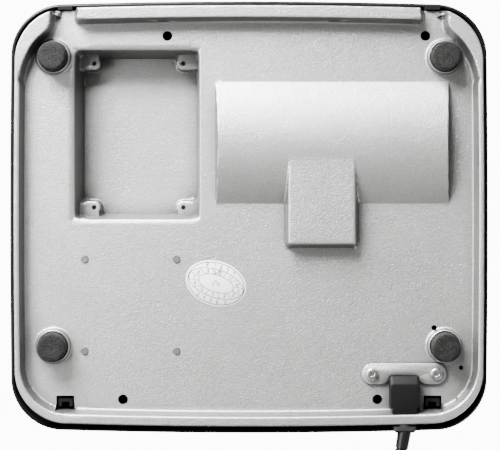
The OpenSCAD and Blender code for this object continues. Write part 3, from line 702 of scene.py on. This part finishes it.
def fitting_shell():
    loops = [outline] + [circle(x, y, r, int(max(12, 12 * r))) for x, y, r in round_holes]
    loops += [circle(x, y, 2.05, 20) for x, y in tip_places]
    wx, wy, half_w, half_d = window
    for side in (-1, 1):
        loops.append(np.array([(side * wx + a * half_w, wy + b * half_d) for a, b in
                               ((-1, -1), (0, -1), (1, -1), (1, 0), (1, 1), (0, 1), (-1, 1), (-1, 0))]))
    points = cast_points()
    for side in (-1, 1):
        points = points[(abs(points[:, 0] - side * wx) > half_w + 0.2)
                        | (abs(points[:, 1] - wy) > half_d + 0.2)]
    all_points = [tuple(p) for p in points]
    edges = []
    for loop in loops:
        first = len(all_points)
        all_points += [tuple(p) for p in loop]
        edges += [(first + k, first + (k + 1) % len(loop)) for k in range(len(loop))]
    flat, _, triangles, _, _, _ = delaunay_2d_cdt([Vector(p) for p in all_points], edges, [], 0, 1e-4)
    flat = np.array([tuple(p) for p in flat])
    triangles = np.array(triangles)
    middles = flat[triangles].mean(axis=1)
    keep = inside_of(middles, outline) > 0
    for loop in loops[1:]:
        close = np.hypot(*(middles - loop.mean(axis=0)).T) < 9
        keep[close] &= inside_of(middles[close], loop) < 0
    triangles = triangles[keep]
    used, index = np.unique(triangles, return_inverse=True)
    flat, triangles = flat[used], index.reshape(-1, 3)
    a, b, c = (flat[triangles[:, k]] for k in range(3))
    turn = (b[:, 0] - a[:, 0]) * (c[:, 1] - a[:, 1]) - (b[:, 1] - a[:, 1]) * (c[:, 0] - a[:, 0])
    triangles[turn < 0] = triangles[turn < 0][:, ::-1]
    under = underside(flat[:, 0], flat[:, 1])
    top = topside(flat[:, 0], flat[:, 1], under)
    pairs = np.vstack([triangles[:, [0, 1]], triangles[:, [1, 2]], triangles[:, [2, 0]]])
    known = set(map(tuple, pairs))
    rims = [(i, j) for i, j in map(tuple, pairs) if (j, i) not in known]
    count = len(flat)
    solid = np.vstack([np.column_stack([flat, under]), np.column_stack([flat, top])])
    faces = [tuple(t) for t in triangles[:, ::-1]] + [tuple(t + count) for t in triangles]
    faces += [(i, j, j + count, i + count) for i, j in rims]
    return solid, faces


def cast_finish():
    material, wire = new_finish("cast_paint")
    grain = noise(wire, 1400.0, 2.5, 0.6)
    cloud = noise(wire, 45.0, 4.0)
    specks = wire.node("ValToRGB", {"stops": [(0.62, 0), (0.72, 1)]}, {"Fac": noise(wire, 620.0, 2.0)})
    tone = 0.8 * grain + 0.2 * cloud
    colour = tone.mix((0.26, 0.26, 0.255, 1), (0.98, 0.975, 0.96, 1))
    colour = (0.18 * specks).mix(colour, (0.2, 0.2, 0.2, 1))
    # Painted shade: the paint's colour goes to dark grey where ambient occlusion finds the surface closed in,
    # in corners, recesses and at the foot of walls.
    open_air = wire.node("AmbientOcclusion", {"samples": 8}, {"Distance": 0.016}, out=1)
    painted_corner_shade = open_air.node("ValToRGB", {"stops": [(0.35, 0.16), (0.85, 1)]}, {"Fac": open_air})
    colour = painted_corner_shade.mix((0.05, 0.05, 0.05, 1), colour)
    # Painted shade: steep walls, whose normals lie far from upright, are coloured darker grey than the level
    # floor and rim.
    upright = wire.node("SeparateXYZ", {}, {0: wire.node("NewGeometry", out=1)}, out=2)
    level = wire.node("ValToRGB", {"stops": [(0.30, 0.0), (0.78, 1)]},
                      {"Fac": wire.math("ABSOLUTE", upright)})
    colour = level.mix((0.16, 0.16, 0.158, 1), colour)
    fine = wire.node("Bump", {}, {"Strength": 0.5, "Distance": 0.0007, "Height": grain})
    waves = wire.node("Bump", {}, {"Strength": 0.2, "Distance": 0.0008, "Height": noise(wire, 220.0),
                                   "Normal": fine})
    set_surface(wire, wire.node("BsdfPrincipled", {}, {
        "Base Color": colour, "Metallic": 0.8, "Roughness": 0.31 + 0.16 * grain, "Normal": waves}))
    return material


cast_paint = cast_finish()
stop_places = [(-137.0, -60.0), (137.0, -60.0), (-137.0, 60.0), (137.0, 60.0)]
cast_parts = [fitting_shell()]
for x, y in stop_places:
    cast_parts.append(turned([(0, 5.4), (22.4, 5.4), (23, 4.9)], (x, y, 17), (0, 0, 1), 24))
for x, y in tip_places:
    cast_parts.append(turned([(0, 3.9), (6.6, 3.9), (7, 3.6)], (x, y, 17), (0, 0, 1), 24))
new_piece("cast_base", *merged(cast_parts), "base", "cast_metal", cast_paint,
          ["base_floor", "base_wall", "base_pocket", "base_bulge"], sharp=58)


# The feet: round black rubber plugs, pressed into the casting's rings. Their ends are
# moulded with an uneven, crumbly face that has turned grey with wear.
def rubber_finish():
    material, wire = new_finish("foot_rubber")
    lumps = noise(wire, 900.0, 5.0, 0.65)
    worn = noise(wire, 240.0, 3.0)
    crumbs = lumps.node("ValToRGB", {"stops": [(0.42, 0), (0.62, 1)]}, {"Fac": 0.7 * lumps + 0.3 * worn})
    colour = crumbs.mix((0.002, 0.002, 0.002, 1), (0.022, 0.022, 0.021, 1))
    bump = wire.node("Bump", {}, {"Strength": 0.9, "Distance": 0.0005, "Height": lumps})
    set_surface(wire, wire.node("BsdfPrincipled", {}, {
        "Base Color": colour, "Roughness": 0.62 + 0.2 * worn, "Normal": bump, "Specular IOR Level": 0.2}))
    return material


foot_rubber = rubber_finish()
foot_profile = [(0, 9.3), (5, 9.3), (5.4, 9.2), (12.8, 8.95), (13.5, 8.8), (13.85, 8.5), (14.0, 8.0),
                (13.9, 5.2),
                (13.9, 2.5)]
for where, (fx, fy) in zip(("front_left", "front_right", "rear_left", "rear_right"), foot_places):
    new_piece("rubber_foot_" + where, *turned(foot_profile, (fx, fy, FLOOR_Z), (0, 0, -1), 56), "base",
              "rubber_feet", foot_rubber, ["foot_" + where])


# The platform cover: a deep black moulding that hangs over the base on all sides. Its lower
# edge is rounded, and the top has a shallow recess for the mat.
cover_low, cover_high = corners_mm("platform_cover")
skirt_low, skirt_high = corners_mm("cover_skirt")
PLATFORM_W = skirt_high[0] - skirt_low[0]
PLATFORM_D = skirt_high[1] - skirt_low[1]
SKIRT_T = 2.2
MAT_INSET = 12.0


def platform_rings(profile):
    """Rings round the platform, all with the same number of points."""
    count = None
    rings = []
    for inset, z in profile:
        ring = bowed_outline(PLATFORM_W - 2 * inset, PLATFORM_D - 2 * inset, CORNER_R - inset,
                             (PLATFORM_W - 2 * CORNER_R) / 50)
        count = count or len(ring)
        rings.append(np.column_stack([ring[:count], np.full(count, z)]))
    return rings


top_z = cover_high[2]
skirt_z = skirt_low[2]
cover_profile = [(SKIRT_T, cover_low[2]), (SKIRT_T, skirt_z + 0.5), (SKIRT_T - 0.3, skirt_z + 0.12),
                 (SKIRT_T - 0.6, skirt_z), (1.35, skirt_z + 0.1), (0.9, skirt_z + 0.5), (0.45, skirt_z + 1.3),
                 (0.15, skirt_z + 2.6), (0, skirt_z + 4.6), (0, top_z - 3), (0.1, top_z - 1.8),
                 (0.5, top_z - 0.8),
                 (1.1, top_z - 0.25), (1.9, top_z), (MAT_INSET - 0.3, top_z), (MAT_INSET, top_z - 0.2),
                 (MAT_INSET, top_z - 1)]


def gloss_finish():
    material, wire = new_finish("black_gloss")
    smudge = noise(wire, 60.0, 4.0)
    fine = noise(wire, 2600.0, 2.0)
    colour = smudge.mix((0.004, 0.004, 0.004, 1), (0.010, 0.010, 0.010, 1))
    bump = wire.node("Bump", {}, {"Strength": 0.12, "Distance": 0.00008, "Height": fine})
    set_surface(wire, wire.node("BsdfPrincipled", {}, {
        "Base Color": colour, "Roughness": 0.26 + 0.2 * smudge, "Normal": bump, "Specular IOR Level": 0.3}))
    return material


black_gloss = gloss_finish()
new_piece("cover_moulding", *loft(platform_rings(cover_profile)), "platform", "black_plastic", black_gloss,
          ["platform_cover", "cover_skirt"])


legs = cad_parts["cover_legs"]
legs.data.materials.clear()
legs.data.materials.append(black_gloss)


# The mat: black rubber, laid in the cover's recess, with a fine pattern of small raised
# squares that keeps the load from sliding.
def mat_finish():
    material, wire = new_finish("mat_rubber")
    place = wire.node("TexCoord", out=3)
    rows = wire.node("TexWave", {"bands_direction": "X"}, {"Vector": place, "Scale": 60.0}, out=1)
    lanes = wire.node("TexWave", {"bands_direction": "Y"}, {"Vector": place, "Scale": 60.0}, out=1)
    squares = wire.math("MINIMUM", rows, lanes)
    grain = noise(wire, 1400.0, 3.0)
    colour = (0.5 * squares + 0.5 * grain).mix((0.010, 0.010, 0.011, 1), (0.032, 0.032, 0.033, 1))
    bump = wire.node("Bump", {}, {"Strength": 0.8, "Distance": 0.0004, "Height": squares + 0.15 * grain})
    set_surface(wire, wire.node("BsdfPrincipled", {}, {
        "Base Color": colour, "Roughness": 0.7 + 0.15 * grain, "Normal": bump}))
    return material


mat_rubber = mat_finish()
mat_low, mat_high = corners_mm("top_mat")
mat_profile = [(MAT_INSET + 0.12, mat_low[2]), (MAT_INSET + 0.12, mat_high[2] - 0.5),
               (MAT_INSET + 0.3, mat_high[2] - 0.12), (MAT_INSET + 0.7, mat_high[2])]
new_piece("platform_mat", *loft(platform_rings(mat_profile)), "platform", "mat_rubber", mat_rubber,
          ["top_mat"])


# The cord clamp: a pressed aluminium plate with a forked end that holds the cord block
# down, two pan-head screws, the moulded block and the bushing behind the rear wall.
plate_low, plate_high = corners_mm("clamp_plate")
block_low, block_high = corners_mm("cable_block")
clamp_x = (plate_low[0] + plate_high[0]) / 2
clamp_y = (plate_low[1] + plate_high[1]) / 2
SCREW_GAP = 41.2


def clamp_outline():
    half_w = (plate_high[0] - plate_low[0]) / 2
    half_d = (plate_high[1] - plate_low[1]) / 2
    r = half_d - 0.2
    slot = (block_high[0] - block_low[0]) / 2 + 0.1
    right = [(half_w - r + r * math.cos(t), r * math.sin(t))
             for t in np.linspace(-math.pi / 2, math.pi / 2, 17)]
    right += [(slot + 6.5, half_d - 0.2), (slot + 3.4, half_d - 0.5), (slot + 1.2, half_d - 1.4),
              (slot + 0.2, half_d - 2.6), (slot, 4.2), (slot, 2.6), (slot - 0.4, 1.7), (slot - 1.3, 1.25)]
    left = [(-x, y) for x, y in right[::-1]]
    return np.array(right + left) + (clamp_x, clamp_y)


def grown(loop, by):
    """The loop moved outward by a small distance."""
    ahead = np.roll(loop, -1, axis=0) - np.roll(loop, 1, axis=0)
    normal = np.column_stack([ahead[:, 1], -ahead[:, 0]])
    normal /= np.maximum(np.linalg.norm(normal, axis=1, keepdims=True), 1e-9)
    return loop + by * normal


def slab(loop, levels):
    """A solid from one outline: levels are (how far in, height)."""
    return loft([np.column_stack([grown(loop, -inset), np.full(len(loop), z)]) for inset, z in levels])


clamp_points, clamp_faces = slab(clamp_outline(), ((0, plate_high[2]), (0, plate_low[2] + 0.6),
                                                   (0.15, plate_low[2] + 0.2), (0.5, plate_low[2])))
new_piece("cord_clamp", clamp_points, clamp_faces, "base", "aluminium_block", cast_paint, ["clamp_plate"])

bright_zinc = plated_finish("bright_zinc", (0.60, 0.60, 0.59, 1), (0.78, 0.78, 0.77, 1), 0.28)


def dress(names, finish):
    for name in names:
        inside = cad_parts[name]
        inside.data.materials.clear()
        inside.data.materials.append(finish)


dress(["board_screws", "leg_screws", "overload_screws", "overload_nuts", "cell_base_bolts", "cell_top_bolts"],
      bright_zinc)


def pan_screw(x, y):
    """A pan-head screw that points up, with a star-shaped recess in its head."""
    sides = 48
    head = plate_low[2]
    rings = []
    for r, z, star in ((1.95, head + 8, 0), (1.95, head, 0), (3.8, head, 0), (3.8, head - 1.2, 0),
                       (3.65, head - 1.8, 0), (3.2, head - 2.2, 0), (2.4, head - 2.38, 0.0),
                       (1.75, head - 2.4, 1),
                       (1.6, head - 2.3, 1), (1.45, head - 0.7, 1), (0.2, head - 0.5, 0)):
        t = np.arange(sides) * 2 * math.pi / sides
        radius = r * (1 + 0.16 * star * np.cos(6 * t))
        rings.append(np.column_stack([x + radius * np.cos(t), y + radius * np.sin(t), np.full(sides, z)]))
    return loft(rings)


new_piece("clamp_pan_screws", *merged([pan_screw(clamp_x + side * SCREW_GAP / 2, clamp_y) for side in (-1,
                                                                                                       1)]),
          "base", "zinc_steel", bright_zinc, ["clamp_screws"])


def block_ring(z, grow, front_cut):
    """One level of the cord block: a rectangle with round front corners."""
    x0, x1 = block_low[0] - grow, block_high[0] + grow
    y0, y1 = block_low[1] - grow + front_cut, block_high[1] + grow
    r = 2.2
    ring = [(x0 + r - r * math.cos(t), y0 + r - r * math.sin(t)) for t in np.linspace(0, math.pi / 2, 7)]
    ring += [(x1 - r + r * math.sin(t), y0 + r - r * math.cos(t)) for t in np.linspace(0, math.pi / 2, 7)]
    ring += [(x1, y1 - 5.4), (x1, y1 - 4.6), (x1 - 1.5, y1 - 4.2), (x1 - 1.5, y1 - 0.4), (x1 - 1.9, y1),
             (x0 + 1.9, y1), (x0 + 1.5, y1 - 0.4), (x0 + 1.5, y1 - 4.2), (x0, y1 - 4.6), (x0, y1 - 5.4)]
    return np.column_stack([ring, np.full(len(ring), z)])


block_rings = [block_ring(block_high[2], 0, 0), block_ring(block_low[2] + 3.4, 0, 0),
               block_ring(block_low[2] + 2.8, -0.1, 0.5), block_ring(block_low[2] + 0.5, -0.2, 3.6),
               block_ring(block_low[2] + 0.1, -0.5, 4.0), block_ring(block_low[2], -0.9, 4.4)]
block_black = moulded_finish("block_black", (0.002, 0.002, 0.002, 1), (0.007, 0.007, 0.007, 1), 0.5, 0.15)
new_piece("cord_block", *loft(block_rings), "base", "black_plastic", block_black, ["cable_block"])

neck = turned([(0, 4.6), (8.6, 4.6)], (cord_x, bushing_low[1], cord_z), (0, 1, 0), 40)
flange_w = (bushing_high[0] - bushing_low[0]) / 2
flange_h = (bushing_high[2] - bushing_low[2]) / 2


def flange_ring(y, grow):
    ring = []
    for k in range(40):
        a = 2 * math.pi * k / 40
        c, s = math.cos(a), math.sin(a)
        ring.append((cord_x + (flange_w + grow) * math.copysign(abs(c) ** 0.3, c), y,
                     cord_z + (flange_h + grow) * math.copysign(abs(s) ** 0.3, s)))
    return np.array(ring)


flange_y = bushing_high[1]
flange = loft([flange_ring(flange_y - 4, 0), flange_ring(flange_y - 1.6, 0),
               flange_ring(flange_y - 0.5, -0.8),
               flange_ring(flange_y, -1.5)])
new_piece("rear_bushing", *merged([neck, flange]), "base", "black_plastic", dark_moulding, ["cord_bushing"])


# The works inside: a milled aluminium load cell between the casting and the carrier under the
# cover, with sealed gauges, and a green circuit board that two grey leads plug into.
milled = plated_finish("milled_aluminium", (0.42, 0.42, 0.42, 1), (0.58, 0.58, 0.57, 1), 0.34)
carrier_paint = moulded_finish("carrier_paint", (0.10, 0.10, 0.105, 1), (0.17, 0.17, 0.175, 1), 0.46)
gauge_seal = moulded_finish("gauge_seal", (0.62, 0.61, 0.57, 1), (0.74, 0.73, 0.69, 1), 0.5)
board_green = moulded_finish("board_green", (0.010, 0.075, 0.030, 1), (0.020, 0.120, 0.050, 1), 0.3)
header_nylon = moulded_finish("header_nylon", (0.58, 0.56, 0.50, 1), (0.70, 0.68, 0.62, 1), 0.45)
lead_jacket = moulded_finish("lead_jacket", (0.10, 0.10, 0.10, 1), (0.16, 0.16, 0.16, 1), 0.4)
dress(["load_cell", "cell_top_spacer"], milled)
dress(["carrier_plate", "carrier_ribs"], carrier_paint)
dress(["gauge_covers"], gauge_seal)
dress(["cover_pads"], foot_rubber)
dress(["circuit_board"], board_green)
dress(["board_chip", "board_capacitors"], dark_moulding)
dress(["board_header", "board_output_header"], header_nylon)
dress(["cell_lead", "inner_lead"], lead_jacket)


# The date sticker: an oval of thin white paper, printed in pale grey with three rings, a
# circle of numbered cells and a hand-inked tick.
sticker_low, sticker_high = corners_mm("date_sticker")
sticker_middle = (sticker_low + sticker_high)[:2] / 2
STICKER_TURN = math.radians(18)
SEGMENTS = {"a": ((0, 2), (1, 2)), "b": ((1, 2), (1, 1)), "c": ((1, 1), (1, 0)), "d": ((0, 0), (1, 0)),
            "e": ((0, 1), (0, 0)), "f": ((0, 2), (0, 1)), "g": ((0, 1), (1, 1))}
DIGITS = ["abcdef", "bc", "abged", "abgcd", "fgbc", "afgcd", "afgedc", "abc", "abcdefg", "abcdfg"]


def paper_finish(name, low, high):
    material, wire = new_finish(name)
    fibre = noise(wire, 1600.0, 4.0)
    bump = wire.node("Bump", {}, {"Strength": 0.1, "Distance": 0.0001, "Height": fibre})
    set_surface(wire, wire.node("BsdfPrincipled", {}, {
        "Base Color": fibre.mix(low, high), "Roughness": 0.45 + 0.1 * fibre, "Normal": bump}))
    return material


def on_sticker(points, z):
    p = np.array(points, float)
    c, s = math.cos(STICKER_TURN), math.sin(STICKER_TURN)
    return np.column_stack([sticker_middle[0] + p[:, 0] * c - p[:, 1] * s,
                            sticker_middle[1] + p[:, 0] * s + p[:, 1] * c, np.full(len(p), z)])


def oval(a, b, count=72):
    t = np.arange(count) * 2 * math.pi / count
    return np.column_stack([a * np.cos(t), b * np.sin(t)])


def stroke(a, b, width, z):
    a, b = np.array(a, float), np.array(b, float)
    along = (b - a) / max(np.linalg.norm(b - a), 1e-6)
    side = np.array([-along[1], along[0]]) * width / 2
    return on_sticker([a - side, b - side, b + side, a + side], z), [(0, 3, 2, 1)]


def oval_line(a, b, width, z):
    inner, outer = oval(a - width / 2, b - width / 2), oval(a + width / 2, b + width / 2)
    count = len(inner)
    points = on_sticker(np.vstack([inner, outer]), z)
    return points, [(k, (k + 1) % count, count + (k + 1) % count, count + k) for k in range(count)]


def number(value, x, y, turn, height, z):
    strokes = []
    text = str(value)
    c, s = math.cos(turn), math.sin(turn)
    for place, digit in enumerate(text):
        shift = (place - (len(text) - 1) / 2) * height * 0.72
        for segment in DIGITS[int(digit)]:
            ends = []
            for u, v in SEGMENTS[segment]:
                px, py = (u - 0.5) * height * 0.45 + shift, -(v - 1) * height / 2
                ends.append((x + px * c - py * s, y + px * s + py * c))
            strokes.append(stroke(ends[0], ends[1], 0.42, z))
    return strokes


paper_z = sticker_low[2]
new_piece("sticker_paper", *loft([on_sticker(oval(19.9, 14.4), paper_z + 0.2),
                                  on_sticker(oval(19.9, 14.4), paper_z + 0.05),
                                  on_sticker(oval(19.85, 14.35), paper_z + 0.02)]), "base", "sticker_paper",
          paper_finish("white_paper", (0.93, 0.93, 0.93, 1), (0.98, 0.98, 0.98, 1)), ["date_sticker"])
print_strokes = [oval_line(18.6, 13.2, 0.5, paper_z + 0.01), oval_line(18.2, 8.9, 0.45, paper_z + 0.01),
                 oval_line(11.6, 5.4, 0.45, paper_z + 0.01)]
for hour in range(12):
    t = 2 * math.pi * (hour + 0.5) / 12
    print_strokes.append(stroke((11.6 * math.cos(t), 5.4 * math.sin(t)),
                                (18.2 * math.cos(t), 8.9 * math.sin(t)),
                                0.35, paper_z + 0.01))
    t = 2 * math.pi * hour / 12
    print_strokes += number(hour + 1, 14.9 * math.cos(t), 7.1 * math.sin(t), 0, 2.2, paper_z + 0.01)
for k in range(5):
    print_strokes += number(k + 3, -9 + 4.5 * k, 11.1 - 0.03 * (k - 2) ** 2 * 9, 0, 2.2, paper_z + 0.01)
    print_strokes += number(8 - k, -9 + 4.5 * k, -11.1 + 0.03 * (k - 2) ** 2 * 9, 0, 2.2, paper_z + 0.01)
print_strokes += number(24, 0, 0, 0, 3.4, paper_z + 0.01)
print_strokes.append(stroke((-3.4, -8.2), (-2.2, -5.6), 0.5, paper_z + 0.005))
print_strokes.append(stroke((-2.2, -5.6), (0.6, -10.4), 0.5, paper_z + 0.005))
new_piece("sticker_print", *merged(print_strokes), "base", "sticker_paper",
          paper_finish("pale_ink", (0.015, 0.015, 0.015, 1), (0.03, 0.03, 0.03, 1)))
